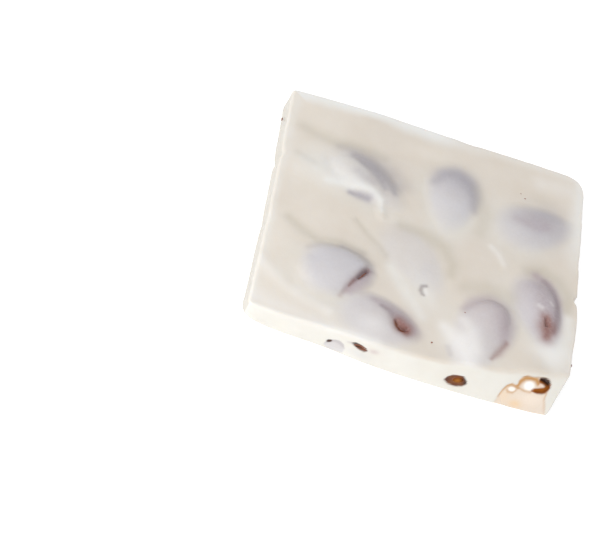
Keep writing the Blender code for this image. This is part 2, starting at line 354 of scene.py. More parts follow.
CREAM = tone(212, 204, 194)
# Pale cream: the chocolate's own paler clouds, and painted light where the top is made paler
# towards the left
PALE_CREAM = tone(227, 221, 212)
HALO = tone(216, 216, 212)
# White: the chocolate's own whitish mottling, and painted highlights on lit ridges, flanks and the
# front rim
WHITE_AND_HIGHLIGHT = tone(234, 233, 232)
# Painted sheen: the white laid on ridges, lit slopes and rims where they catch the light
PAINTED_SHEEN = tone(228, 229, 228)
MIST = tone(204, 203, 209)
# Lavender, mauve, smoke and dusk: partly the almond's tint through the thin film, partly painted
# shade on the mounds' flanks away from the light and along their edges; dusk also gives the
# chocolate's own dark specks
LAVENDER = tone(156, 152, 163)
MAUVE = tone(162, 146, 154)
SMOKE_SHADE = tone(146, 142, 151)
DUSK = tone(124, 112, 116)
# Painted shade: the soft olive shade along valleys of the top and at the feet of the mounds
OLIVE_SHADE = tone(182, 175, 160)
ROSE = tone(142, 100, 94)
RUSSET = tone(122, 62, 40)
COPPER = tone(164, 100, 46)
MAROON = tone(100, 54, 54)
FLESH = tone(222, 209, 196)
GOLD = tone(184, 134, 72)
AMBER = tone(144, 80, 16)
UMBER = tone(40, 14, 2)
DARK_SKIN = tone(108, 58, 44)
PALE_SKIN = tone(162, 106, 82)
LIT_WALL_TONES = np.array([tone(221, 219, 213), tone(227, 227, 227), tone(216, 213, 207),
                  tone(198, 194, 186)])     # side by side, each lighter or darker as the light falls on it: painted light and shade

# How the film over each almond looks: its shade colour, how strong that is on the side
# the flow came from and on the other (partly the almond's tint through the film, partly
# painted shade on the flank away from the light), how milky the film is, and how much
# paler the chocolate round it is, most on the side away from the flow
VEILS = {
    "far_left": (SMOKE_SHADE, 0.25, 0.0, 0.3, 0.4),
    "far_middle": (LAVENDER, 0.45, 0.02, 0.7, 0.5),
    "far_right": (LAVENDER, 0.30, 0.05, 0.6, 0.4),
    "middle": (LAVENDER, 0.08, 0.0, 0.35, 0.15),
    "near_left": (LAVENDER, 0.30, 0.02, 0.85, 0.3),
    "near_middle": (MAUVE, 0.33, 0.0, 0.65, 0.3),
    "near_right": (MAUVE, 0.38, 0.06, 0.6, 0.2),
    "right_side": (MAUVE, 0.50, 0.12, 0.8, 0.3),
}
# The right almond's film is mottled most: how much, and the oval where
MOTTLED = (0.45, ((34.0, -12.0), (7.0, 3.4), -72))

# Soft ovals on the top: colour, strength, (centre, half lengths, turn). The lavender,
# mauve and olive ovals are painted shade, partly the film's tint; the white, sheen and
# pale cream ovals are painted highlights and lit places; the mist oval is the milky film
PATCHES = [
    (LAVENDER, 0.45, ((31, 15), (7.8, 6.4), 12)),
    (MAUVE, 0.25, ((30.2, 16.2), (4.6, 3), 12)),
    (OLIVE_SHADE, 0.15, ((31, 24.4), (4.5, 2.6), 0)),
    (LAVENDER, 0.22, ((34.6, 20.2), (4.6, 3.6), -20)),
    (LAVENDER, 0.30, ((7.5, 22.5), (5.5, 5), 0)),
    (MAUVE, 0.45, ((34.8, -12), (9, 3), -74)),
    (MAUVE, 0.25, ((23, -22.5), (5.5, 2.6), -70)),
    (WHITE_AND_HIGHLIGHT, 0.35, ((-9.6, -33.6), (3.4, 2.8), 0)),
    (PALE_CREAM, 0.45, ((-1, 30), (8, 3.6), 0)),
    (PAINTED_SHEEN, 0.42, ((3, -18.6), (7.5, 2.6), -62)),
    (MIST, 0.35, ((2, -12), (3.4, 4), 0)),
    (WHITE_AND_HIGHLIGHT, 0.60, ((36.4, -26.4), (5, 3), 0)),
]
# Soft lines on the top, laid after: colour, strength, (x, y, half width) points.
# The olive, smoke, lavender, mauve and dusk lines are painted shade along valleys,
# creases, undercuts and shaded flanks, partly the film's tint, and one dusk line marks
# a dark speck; the white and sheen lines are painted highlights on ridges, lit flanks
# and the front rim; rose, russet and copper show the almond's skin, and maroon is skin
# in the crease with painted shade
STROKES = [
    (OLIVE_SHADE, 0.35, [(-36.5, 26.8, 2), (-32, 25.2, 2.2), (-27, 24.2, 2.4), (-21, 25, 2.2),
        (-14, 23.4, 2)]),
    (OLIVE_SHADE, 0.28, [(-37, 16.4, 1.3), (-32.6, 14.6, 1.2)]),
    (OLIVE_SHADE, 0.40, [(-36, -6, 1.5), (-31.5, -9, 1.6), (-27, -10.6, 1.4), (-21, -9.6, 1.3),
        (-15, -11.2, 1.2)]),
    (OLIVE_SHADE, 0.45, [(-6.2, 1.6, 1.8), (0.4, 0.6, 2.2), (6, -2.3, 2.2), (8.6, -6.6, 2),
        (8.8, -10, 1.6)]),
    (OLIVE_SHADE, 0.28, [(-18.3, -0.5, 0.9), (-14.4, -4.5, 1), (-11.3, -7, 1), (-9, -9.8, 0.9)]),
    (OLIVE_SHADE, 0.30, [(13, 21, 2.4), (16, 13, 2.6), (15, 7, 2.2)]),
    (OLIVE_SHADE, 0.32, [(13, -12.6, 2.2), (18.6, -11, 2.6), (24.8, -12, 2.8)]),
    (SMOKE_SHADE, 0.26, [(-26, 22.8, 1.6), (-18.5, 22, 2.8), (-11.5, 19.6, 3.6), (-7.4, 15.6, 3)]),
    (SMOKE_SHADE, 0.55, [(-21.6, 20.8, 1.5), (-17.2, 19.4, 2.6), (-13.2, 16.8, 3.2), (-10.6, 14, 2.6),
        (-9.6, 11.6, 1.2)]),
    (SMOKE_SHADE, 0.38, [(-19.6, 18.8, 1.1), (-16, 17.4, 1.6), (-13.6, 14.4, 1.3), (-12.3, 11.8, 0.8)]),
    (PAINTED_SHEEN, 0.45, [(-33.5, 13.6, 4.4), (-27, 12.4, 3.6), (-21, 11.4, 2.4), (-16, 9.8, 1.5),
        (-12.9, 7.8, 0.9)]),
    (PAINTED_SHEEN, 0.20, [(-26, 18.2, 2), (-22, 16.8, 1.8), (-18.6, 14.6, 1.2)]),
    (LAVENDER, 0.28, [(-20.4, 14.8, 1.6), (-18, 13.4, 1.7), (-15.6, 12.4, 1.1)]),
    (PAINTED_SHEEN, 0.55, [(-28, 9.9, 1.2), (-23, 10, 1.1), (-18.5, 9.9, 1), (-15.2, 9.4, 1),
        (-13, 7.6, 0.9), (-12, 4.6, 0.9)]),
    (LAVENDER, 0.72, [(-21.4, 8, 0.8), (-18.8, 7.8, 1.2), (-16.2, 7.5, 1.2)]),
    (LAVENDER, 0.42, [(0.8, 19.8, 1.6), (3, 23.2, 2.4), (6.8, 25.2, 2.8), (10.4, 22.8, 2.8),
        (12.2, 18.2, 2.1), (12.6, 13.6, 1.4)]),
    (MAUVE, 0.30, [(24.6, 15, 1.4), (27.7, 13.6, 1.5), (30.6, 13, 1.4), (33, 14.4, 1.6)]),
    (SMOKE_SHADE, 0.18, [(-29.4, -14.6, 1), (-25.8, -12.6, 1.3), (-20.8, -11.5, 1.4)]),
    (SMOKE_SHADE, 0.37, [(-20.6, -11.2, 1.2), (-16, -12.2, 1.9), (-12.9, -14.6, 1.7),
        (-12.1, -16.6, 1.1)]),
    (MAUVE, 0.62, [(-12.9, -17.4, 1.3), (-13.8, -20.2, 2), (-15.4, -22.8, 2), (-17, -25, 1.3)]),
    (DUSK, 0.60, [(-8.4, -27.4, 0.6), (-6, -28.4, 1.2), (-3.6, -30.2, 2.1), (-0.8, -32, 2.1)]),
    (MAUVE, 0.45, [(-10.4, -25.8, 1.3), (-6.4, -26.8, 2.2), (-1.6, -28.8, 3.2),
        (1.2, -31.6, 2.2)]),
    (PAINTED_SHEEN, 0.50, [(-7.5, -13, 1.5), (-5, -16.6, 2.2), (-0.2, -22, 2.4), (2.4, -26, 1.8)]),
    (MAUVE, 0.42, [(13.4, -19.8, 1.3), (15.8, -17, 2.1), (19.6, -15.4, 2.3), (23.4, -17.2, 2.3),
        (24.8, -21.6, 2.3), (24.6, -26.6, 1.8)]),
    (WHITE_AND_HIGHLIGHT, 0.70, [(9, -27.2, 2), (12.7, -30.6, 3.4), (16, -36.2, 3.2)]),
    (WHITE_AND_HIGHLIGHT, 0.45, [(13.5, -24, 1.6), (16, -28, 2.2), (17.6, -33, 2.2)]),
    (LAVENDER, 0.25, [(10.4, -33.2, 0.9), (11.2, -35.4, 0.8)]),
    (OLIVE_SHADE, 0.45, [(29.4, -1.2, 2.2), (33.2, -0.2, 2.4), (37.4, -1.6, 2.2), (40.4, -6, 2.2),
        (40.8, -11, 1.6)]),
    (PAINTED_SHEEN, 0.55, [(41.4, -14, 1.6), (41.2, -19, 2.6), (40, -24, 3.2), (38.6, -29, 3)]),
    (MAUVE, 0.62, [(31.6, -2, 1.4), (35.3, -3.9, 1.6), (37.8, -8.2, 1.5), (38.1, -14, 1.3),
        (37.4, -20, 1.1)]),
    (DUSK, 0.42, [(34, -3.2, 0.9), (36.6, -5.6, 1.1), (38, -9.6, 1), (37.9, -14, 1.2),
        (37.6, -17.6, 1.3), (37.3, -19.8, 0.7)]),
    (WHITE_AND_HIGHLIGHT, 0.40, [(-41, -22, 1.8), (-33.2, -28.5, 2), (-27.8, -30.8, 2), (-21.5, -33, 1.8)]),
    (WHITE_AND_HIGHLIGHT, 0.42, [(-41, -34, 2.6), (-34, -35.4, 2.6), (-26, -36.4, 2.4), (-18, -38.2, 1.8),
        (-8, -38.6, 1.4)]),
    (WHITE_AND_HIGHLIGHT, 0.35, [(18.6, 3.3, 0.9), (20.9, 1.4, 1.2), (22.5, -1.5, 1)]),
    (WHITE_AND_HIGHLIGHT, 0.30, [(31, 31, 3), (38, 31, 3.4)]),
    (WHITE_AND_HIGHLIGHT, 0.50, [(2.5, -17.2, 0.6), (2.7, -18.2, 0.7)]),
    (DUSK, 0.58, [(2.6, -16.2, 0.5), (1.5, -16.6, 0.6), (1.3, -17.9, 0.6), (1.9, -18.9, 0.55),
        (2.4, -19.2, 0.35)]),
    (MAROON, 0.64, [(-13.2, -16.8, 0.85), (-14.1, -18.3, 1.15), (-15.2, -20.1, 0.95),
        (-16.6, -22.2, 0.55), (-17.5, -23.8, 0.3)]),
    (ROSE, 0.30, [(-16.6, -22.2, 0.9), (-17.8, -24.2, 0.9), (-19.2, -27.2, 0.7)]),
    (ROSE, 0.76, [(-3, -30.5, 1.8), (-0.9, -31.5, 2)]),
    (RUSSET, 0.80, [(-4, -31.1, 0.8), (-3.1, -32.4, 1.6), (-1.2, -32.9, 1.4)]),
    (ROSE, 0.40, [(-2.8, -33.1, 0.8), (-1.4, -33.5, 0.7)]),
    (COPPER, 0.50, [(-4.1, -30.9, 0.45), (-3.8, -31.6, 0.5)]),
    (ROSE, 0.72, [(34.7, -16.2, 1.8), (35.3, -18.8, 2.8), (35.6, -22, 2)]),
    (RUSSET, 0.48, [(35.3, -16.9, 1.2), (35.8, -19, 2), (35.6, -21.4, 1.1)]),
    (WHITE_AND_HIGHLIGHT, 0.36, [(32.5, -13.1, 0.6), (33.5, -13.6, 0.7)]),
    (WHITE_AND_HIGHLIGHT, 0.30, [(35.8, -10.8, 0.5), (36.4, -11.3, 0.5)]),
    (ROSE, 0.52, [(21.9, -33.3, 0.6), (23.5, -31, 1.1), (25.3, -27.6, 0.8)]),
]


def laid(colours, x, y, marks):
    """Colours with marks laid on them in turn.

    A mark is a colour, a strength, a line or an oval and, where its edge is
    firm, the two levels of its fading between which it sets in.
    """
    for colour, strength, place, *firm in marks:
        share = stroke(x, y, place) if isinstance(place, list) else blob(x, y, *place)
        if firm:
            share = ease(share, *firm)
        colours = mixed(colours, colour, strength * share)
    return colours


def top_colours(x, y):
    """Colours of the poured top, with painted shade and highlights, and how strongly each place is
    mottled.
    """
    colours = np.broadcast_to(CREAM, (*np.shape(x), 3))
    cloud = 0.5 + 0.5 * grain(x, y, 0.0, 14.0, 11)
    # Paler clouds of the chocolate's own, and paler towards the left, where the key light stands:
    # painted light
    colours = mixed(colours, PALE_CREAM, 0.25 * cloud + 0.5 * ease(-x, 14.0, 46.0))
    for name, (_, _, _, _, pale) in VEILS.items():
        away, upstream = mound_place(x, y, name)
        colours = mixed(colours, HALO, pale * (1 - ease(away, 0.9, 2.1)) * (1 - 0.85 * upstream))
    mottle = MOTTLED[0] * blob(x, y, *MOTTLED[1])
    # Each mound's flank away from the light takes its shade colour: film tint and painted shade
    for name, (shade_colour, far, near, milky, _) in VEILS.items():
        away, _ = mound_place(x, y, name)
        body = 1 - ease(away, 0.7, 1.3)
        across = ease(-downstream(x, y, ALMONDS[name]), -1.1, 1.1)
        colours = mixed(colours, MIST, milky * body)
        colours = mixed(colours, shade_colour, body * (near + (far - near) * across))
        mottle = np.maximum(mottle, 0.12 * body)
    return laid(colours, x, y, PATCHES + STROKES), mottle


# Almonds cut through at the front wall: the outlines as (x, z) corners
CORNER_CUT = [(26.1, -0.3), (26.5, 2.5), (27.0, 4.3), (27.7, 5.6), (28.8, 6.3), (29.8, 6.0),
              (30.3, 6.2), (30.2, 7.1), (30.7, 8.2), (31.8, 8.8), (33.6, 8.5), (35.0, 8.7),
              (36.4, 8.8), (38.0, 8.2), (38.9, 7.0), (38.8, 5.6), (38.5, 3.9), (39.2, 2.3),
              (40.0, -0.3)]
TIP_CUT = [(-19.9, 1.6), (-19.6, 3.4), (-19.4, 4.6), (-18.5, 5.2), (-17.6, 5.8), (-16.6, 6.0),
           (-15.3, 5.1), (-14.5, 3.0), (-14.6, 1.0), (-16.5, 0.4), (-18.6, 0.4)]
SIDE_CUT = [(-13.8, 7.1), (-12.8, 7.8), (-11.2, 7.5), (-9.7, 6.6), (-9.1, 5.6), (-9.8, 4.7),
            (-11.3, 5.1), (-12.8, 6.1)]
SKIN_CUT = [(11.8, 3.2), (12.3, 4.4), (13.4, 5.3), (14.9, 5.6), (16.3, 5.6), (17.5, 4.3),
            (17.8, 3.4), (16.9, 2.5), (15.0, 1.9), (13.0, 2.2)]
# Where the wall steps back; at the corner almond less far to the right
SET_BACK = [CORNER_CUT[:-3] + [(38.4, 3.6), (37.6, 1.8), (36.0, 0.3), (35.4, -0.3)],
            TIP_CUT, SIDE_CUT, SKIN_CUT]

BROWN = tone(104, 52, 8)
CORNER_MARKS = [
    (tone(234, 222, 210), 0.7, ((35.0, 3.2), (3.4, 1.6))),
    (tone(230, 196, 150), 0.6, ((31.4, 1.3), (1.7, 1.0))),
    (tone(232, 208, 176), 0.4, ((28.0, 2.6), (1.4, 2.0))),
    (GOLD, 0.7, [(26.4, 2.2, 0.35), (27.0, 4.2, 0.45), (27.8, 5.4, 0.5), (28.8, 5.9, 0.5),
                 (29.9, 5.6, 0.45), (30.7, 5.2, 0.35)]),
    (GOLD, 0.5, [(28.2, 4.3, 0.3), (28.6, 3.9, 0.4), (29.8, 3.9, 0.4), (30.4, 4.6, 0.3)]),
    (GOLD, 0.9, [(30.5, 5.9, 0.5), (30.8, 7.1, 0.7), (31.7, 8.0, 0.75), (33.2, 8.1, 0.65),
                 (34.6, 7.9, 0.65), (35.5, 6.9, 0.5)]),
    (GOLD, 0.4, [(38.4, 5.0, 0.3), (38.4, 3.6, 0.3), (39.0, 2.2, 0.26), (39.6, 0.8, 0.24)]),
    (GOLD, 0.5, [(31.0, 5.3, 0.3), (32.4, 4.8, 0.3), (34.2, 4.8, 0.4)]),
    (AMBER, 1.0, [(34.6, 5.3, 0.5), (36.0, 5.3, 0.8), (37.6, 5.6, 0.9), (38.3, 6.6, 0.8),
                  (37.4, 7.6, 1.0), (36.0, 7.8, 0.8)], 0.2, 0.8),
    (BROWN, 0.7, [(35.4, 5.0, 0.3), (37.2, 5.0, 0.4), (38.2, 5.8, 0.4)]),
    (BROWN, 0.6, [(37.4, 7.0, 0.5), (38.4, 6.4, 0.5)]),
    (UMBER, 1.0, [(35.8, 8.1, 0.5), (36.8, 7.9, 0.8), (37.9, 7.4, 0.7)], 0.1, 0.95),
    (tone(248, 247, 245), 1.0, ((33.3, 6.2), (1.6, 1.3), -15), 0.2, 0.8),
    (tone(244, 240, 236), 0.9, ((29.3, 4.7), (0.95, 0.65)), 0.2, 0.7),
    (tone(226, 200, 184), 0.9, ((36.1, 6.6), (0.5, 0.4)), 0.2, 0.7),
]
TIP_MARKS = [
    (tone(176, 170, 174), 0.6, [(-19.5, 2.4, 0.35), (-18.9, 4.2, 0.45), (-17.4, 5.2, 0.8),
                                (-16.2, 5.0, 0.9), (-15.1, 4.0, 0.6)]),
    (tone(62, 28, 12), 0.95, ((-18.95, 4.2), (1.1, 0.65), 60), 0.25, 0.7),
]
SIDE_MARKS = [
    (tone(24, 8, 0), 0.95, ((-12.4, 6.9), (1.3, 0.8), -20)),
    (tone(124, 64, 24), 0.8, ((-10.2, 5.7), (0.8, 0.6), -40)),
]
SKIN_MARKS = [
    (tone(160, 104, 44), 0.85, ((15.3, 3.9), (0.9, 0.65), 20)),
    (tone(76, 28, 4), 0.95, ((12.5, 3.5), (1.0, 1.1))),
    (tone(44, 14, 4), 0.95, ((16.7, 4.8), (0.9, 0.9))),
    (tone(50, 20, 6), 0.95, ((17.4, 3.5), (0.7, 1.0))),
    (tone(88, 40, 6), 0.85, ((15.2, 2.4), (1.6, 0.5))),
    (tone(92, 42, 8), 0.85, ((13.9, 5.0), (1.1, 0.45))),
]
# Each cut face: outline, how soft its edge is, its own colour and its marks
CUT_FACES = [
    (CORNER_CUT, 0.2, FLESH, CORNER_MARKS),
    (TIP_CUT, 0.25, tone(205, 203, 205), TIP_MARKS),
    (SIDE_CUT, 0.2, tone(82, 38, 10), SIDE_MARKS),
    (SKIN_CUT, 0.2, tone(118, 64, 12), SKIN_MARKS),
]
# Almond that shows faintly through the wall round the side cut
WALL_MARKS = [
    (tone(190, 172, 174), 0.6, ((-7.6, 6.3), (1.3, 1.0))),
    (tone(205, 204, 206), 0.5, ((-10.6, 3.4), (3.6, 1.6), -8)),
    (tone(186, 178, 180), 0.5, [(-14.4, 6.9, 0.5), (-13.6, 6.9, 0.5)]),
]


def cut_colours(x, z, colours):
    """The front wall's colours, with those of the almonds cut through it."""
    for outline, soft, own, marks in CUT_FACES:
        face = laid(np.broadcast_to(own, colours.shape), x, z, marks)
        colours = mixed(colours, face, inside(x, z, outline, soft))
    return laid(colours, x, z, WALL_MARKS)


# --- modelling helpers ----------------------------------------------------

def clear_selection():
    bpy.ops.object.select_all(action="DESELECT")


def vertex_places(obj):
    places = np.empty(len(obj.data.vertices) * 3)
    obj.data.vertices.foreach_get("co", places)
    return places.reshape(-1, 3)


def place_vertices(obj, places):
    """Lays a piece's vertices at their final places, given in millimetres."""
    obj.data.vertices.foreach_set("co", np.asarray(places * MM, np.float32).ravel())
    obj.data.update()


def keep_colours(obj, name, colours):
    layer = obj.data.color_attributes.new(name, "FLOAT_COLOR", "POINT")
    full = np.concatenate([np.clip(colours, 0, 1), np.ones((len(colours), 1))], axis=1)
    layer.data.foreach_set("color", full.astype(np.float32).ravel())


def keep_values(obj, name, values):
    layer = obj.data.attributes.new(name, "FLOAT", "POINT")
    layer.data.foreach_set("value", np.asarray(values, np.float32))


def outward_faces():
    """Turns the active piece's faces outwards and shades it smooth."""
    bpy.ops.object.mode_set(mode="EDIT")
    bpy.ops.mesh.select_all(action="SELECT")
    bpy.ops.mesh.normals_make_consistent(inside=False)
    bpy.ops.object.mode_set(mode="OBJECT")
    bpy.ops.object.shade_smooth()


def solid_block():
    """A sheet with a wall drawn down from its border, closed underneath."""
    clear_selection()
    bpy.ops.mesh.primitive_grid_add(x_subdivisions=COLUMNS, y_subdivisions=ROWS, size=2.0)
    obj = bpy.context.object
    bpy.ops.object.mode_set(mode="EDIT")
    bpy.ops.mesh.select_mode(type="EDGE")
    bpy.ops.mesh.select_all(action="DESELECT")
    bpy.ops.mesh.select_non_manifold()
    for _ in range(LAST_ROW):
        bpy.ops.mesh.extrude_region_move(TRANSFORM_OT_translate={"value": (0, 0, -1)})
    for shrink in UNDERSIDE_STEPS:
        bpy.ops.mesh.extrude_region_move()
        bpy.ops.transform.resize(value=(shrink, shrink, 1))
    bpy.ops.mesh.extrude_region_move()
    bpy.ops.mesh.merge(type="CENTER")
    bpy.ops.mesh.select_mode(type="VERT")
    bpy.ops.object.mode_set(mode="OBJECT")
    return obj


def border_place(u, v):
    """How far out places of the sheet lie, and their side and share along it."""
    out = np.maximum(np.abs(u), np.abs(v)).clip(1e-9)
    u, v, edge = u / out, v / out, 1 - 1e-6
    side = np.select([v <= -edge, u >= edge, v >= edge], [FRONT, RIGHT, BACK], LEFT)
    share = np.choose(side, [(u + 1) / 2, (v + 1) / 2, (1 - u) / 2, (1 - v) / 2])
    return out, side, np.clip(share, 0, 1)


def border_values(side, share, values):
    """A value of each side, running smoothly into the next at the corners."""
    values = np.array(values)
    before, here, after = values[side - 1], values[side], values[(side + 1) % 4]
    result = here + (before - here) * 0.5 * (1 - ease(share, 0.0, 0.06))
    return result + (after - here) * 0.5 * ease(share, 0.94, 1.0)


def border_point(side, share, height):
    result = np.zeros((len(share), 2))
    for n in range(4):
        of_side = side == n
        if of_side.any():
            result[of_side] = wall_point(n, share[of_side], height[of_side])
    return result


def border_outward(side, share):
    """Which way is out of the piece at a place on its border."""
    step = 0.004
    low, high = np.clip(share - step, 0, 1), np.clip(share + step, 0, 1)
    level = np.full(len(share), POUR_LEVEL / 2)
    run = border_point(side, high, level) - border_point(side, low, level)
    return unit(np.stack([run[:, 1], -run[:, 0]], axis=1))


def smooth_outward(side, share):
    """The outward direction, shared by both sides where they meet."""
    here = border_outward(side, share)
    before = border_outward((side - 1) % 4, np.ones(len(share)))
    after = border_outward((side + 1) % 4, np.zeros(len(share)))
    near_start = 0.5 * (1 - ease(share, 0.0, 0.012))[:, None]
    near_end = 0.5 * ease(share, 0.988, 1.0)[:, None]
    start = border_outward(side, np.zeros(len(share)))
    end = border_outward(side, np.ones(len(share)))
    return unit(here + (before - start) * near_start + (after - end) * near_end)


def rim_line(side, share):
    """Where the flat top ends: place, height, outward and edge roundings."""
    rim = border_values(side, share, RIM_RADII)
    height = np.full(len(share), POUR_LEVEL)
    outward = smooth_outward(side, share)
    for _ in range(4):
        wall = border_point(side, share, height)
        place = wall - outward * rim[:, None]
        height = poured_top(place[:, 0], place[:, 1])
    return place, height, outward, rim


def chipped(x, y, z, side):
    """How far the cut walls stand in or out of a plain cut."""
    rough = 0.10 * grain(x, y, z, 5.5, 21) + 0.05 * grain(x, y, z, 1.8, 22)
    chips = np.clip(grain(x, y, z, 2.4, 23) - 0.25, 0, 1) * ease(z, 6.5, 9.0)
    scallops = np.clip(grain(x, y, 0.0, 4.5, 24), 0, 1)
    return rough - chips * np.choose(side, CHIP_DEPTHS) - scallops * np.choose(side, SCALLOPS)


def top_places(u, v):
    """The poured top: the sheet stretched between the four lines of the rim."""
    def rim_places(side, share):
        few, again = np.unique(np.round(share, 9), return_inverse=True)
        return rim_line(np.full(len(few), side), few)[0][again]

    s, t = (u + 1) / 2, (v + 1) / 2
    front, right = rim_places(FRONT, s), rim_places(RIGHT, t)
    back, left = rim_places(BACK, 1 - s), rim_places(LEFT, 1 - t)
    ends = np.array([0.0, 1.0])
    near_left, near_right = rim_places(FRONT, ends)
    far_right, far_left = rim_places(BACK, ends)
    s, t = s[:, None], t[:, None]
    flat = ((1 - t) * front + t * back + (1 - s) * left + s * right
            - (1 - s) * (1 - t) * near_left - s * (1 - t) * near_right
            - s * t * far_right - (1 - s) * t * far_left)
    return np.column_stack([flat, poured_top(*flat.T)])


def wall_places(u, v, row):
    """The rim, the cut walls, the foot and the underside."""
    out, side, share = border_place(u, v)
    _, height, outward, rim = rim_line(side, share)
    foot = border_values(side, share, FOOT_RADII)
    rim_angle = np.clip(row / RIM_STEPS, 0, 1) * math.pi / 2
    wall_share = np.clip((row - RIM_STEPS) / WALL_STEPS, 0, 1)
    foot_angle = np.clip((row - RIM_STEPS - WALL_STEPS) / FOOT_STEPS, 0, 1) * math.pi / 2
    z = height - rim * (1 - np.cos(rim_angle))
    z = z + (foot - z) * wall_share - foot * np.sin(foot_angle)
    inset = rim * (1 - np.sin(rim_angle)) + foot * (1 - np.cos(foot_angle))
    flat = border_point(side, share, z) - outward * inset[:, None]
    # The wall steps back at a cut almond, and is plain round it
    cut, calm = np.zeros(len(z)), np.zeros(len(z))
    on_front = side == FRONT
    for outline in SET_BACK:
        here = flat[on_front, 0], z[on_front], outline
        cut[on_front] = np.maximum(cut[on_front], inside(*here, 0.2))
        calm[on_front] = np.maximum(calm[on_front], ease(inside(*here, 2.5), 0, 0.5))
    rough = chipped(flat[:, 0], flat[:, 1], z, side) * (1 - calm)
    rough = rough * ease(z, 0.1, 1.0) * ease(row, 0, RIM_STEPS)
    flat = flat + outward * (rough - CUT_STEP * cut)[:, None]
    under = row == LAST_ROW
    centre = flat[under & (out > 0.999)].mean(axis=0)
    flat = centre + (flat - centre) * np.where(under, out, 1.0)[:, None]
    return np.column_stack([flat, np.maximum(z, 0.0)])


def slab_colours(places, u, v, row):
    """The slab's colours, with painted highlights and shade, and how strongly each place is
    mottled.
    """
    x, y, z = places.T
    colours, mottle = top_colours(x, y)
    out, side, _ = border_place(u, v)
    # Painted highlight along the rims, where they catch the light, stronger on some stretches
    wide = np.choose(side, RIM_HIGHLIGHT_BANDS) * (1 + 0.35 * grain(x, y, 0.0, 9.0, 31))
    rim_sheen = 1 - ease(1 - out, 0.3 * wide, 1.4 * wide)
    pale = np.choose(side, [0.45 * ease(-x, -10.0, 20.0),
                            0.6 * ease(y, 0.0, 14.0) + 0.2 * ease(-y, 22.0, 26.0),
                            0.9 - 0.6 * ease(x, -2.0, 12.0), 0.35])
    colours = mixed(colours, PAINTED_SHEEN, rim_sheen * pale)
    # The walls take their side's tone, painted lighter or darker as the light falls on that side
    wall = ease(row, 2, RIM_STEPS + 2)
    colours = mixed(colours, LIT_WALL_TONES[side], wall)
    front = (side == FRONT) & (row > RIM_STEPS)
    colours[front] = cut_colours(x[front], z[front], colours[front])
    return colours, mottle * (1 - wall)


def slab():
    """The chocolate: its top lies over the almonds as a film."""
    obj = solid_block()
    u, v, level = vertex_places(obj).T
    row = np.rint(-level).astype(int)
    top = row == 0
    places = np.zeros((len(row), 3))
    places[top] = top_places(u[top], v[top])
    places[~top] = wall_places(u[~top], v[~top], row[~top])
    place_vertices(obj, places)
    colours, mottle = slab_colours(places, u, v, row)
    keep_colours(obj, "colour_and_painted_light", colours)
    keep_values(obj, "mottle", mottle)
    outward_faces()
    return obj


def almond_place(own, spec):
    """Places given along, across and up an almond, put in the piece."""
    centre, _, turn = spec
    yaw, pitch, roll = (math.radians(angle) for angle in turn)
    lie = (Matrix.Rotation(yaw, 3, "Z") @ Matrix.Rotation(pitch, 3, "Y")
           @ Matrix.Rotation(roll, 3, "X"))
    return own @ np.array(lie).T + np.array(centre)


def almond_skin(angle, round_angle, spec, pole):
    """Points on an almond, by angle from the pole and angle around it."""
    up = np.cos(angle)
    out = np.sin(angle)
    first, second = out * np.cos(round_angle), out * np.sin(round_angle)
    if pole == "tip":
        along, across, upward = up, first, second
    elif pole == "blunt":
        along, across, upward = -up, second, first
    else:
        along, across, upward = first, -up, second
    length, width, thickness = spec[1]
    narrow = 1.0 - TAPER * along
    around = np.arctan2(upward, across)
    fade = np.clip(1.0 - along ** 2, 0, 1)
    furrow = (grain(5.0 * np.cos(around), 5.0 * np.sin(around), 1.6 * along, 0.55, 41)
              + 0.5 * grain(5.0 * np.cos(around), 5.0 * np.sin(around), 2.6 * along, 0.28, 42))
    swell = 1.0 + (0.010 * furrow - 0.006) * fade
    own = np.stack([along * length / 2, across * narrow * swell * width / 2,
                    upward * narrow * swell * thickness / 2], axis=-1)
    return almond_place(own, spec)


def cut_places(angle, round_angle, spec, pole):
    """An almond's places, the pole's side gathered on the knife's cut."""
    turns, again = np.unique(np.round(round_angle, 5), return_inverse=True)
    near, far = np.zeros(len(turns)), np.full(len(turns), math.pi)
    for _ in range(30):
        middle = (near + far) / 2
        spot = almond_skin(middle, turns, spec, pole)
        outside = spot[:, 1] < front_wall(spot[:, 0], spot[:, 2]) + CUT_SET_IN
        near, far = np.where(outside, middle, near), np.where(outside, far, middle)
    limit = far[again]
    share = angle / math.pi
    body = share >= FACE_SHARE
    body_angle = limit + (math.pi - limit) * (share - FACE_SHARE) / (1 - FACE_SHARE)
    skin = almond_skin(np.where(body, body_angle, limit), round_angle, spec, pole)
    centre = almond_skin(far, turns, spec, pole).mean(axis=0)
    ratio = np.clip(share / FACE_SHARE, 0, 1)[:, None]
    face = centre + (almond_skin(limit, round_angle, spec, pole) - centre) * ratio
    places = np.where(body[:, None], skin, face)
    places[:, 2] = np.maximum(places[:, 2], CUT_CLEARANCE)
    foot = FOOT_RADII[FRONT]
    under = np.clip((foot - places[:, 2]) / foot, 0, 1)
    cut_y = (front_wall(places[:, 0], places[:, 2]) + CUT_SET_IN
             + foot * (1 - np.sqrt(1 - under ** 2)))
    places[:, 1] = np.where(body, np.maximum(places[:, 1], cut_y), cut_y)
    return places, share <= FACE_SHARE


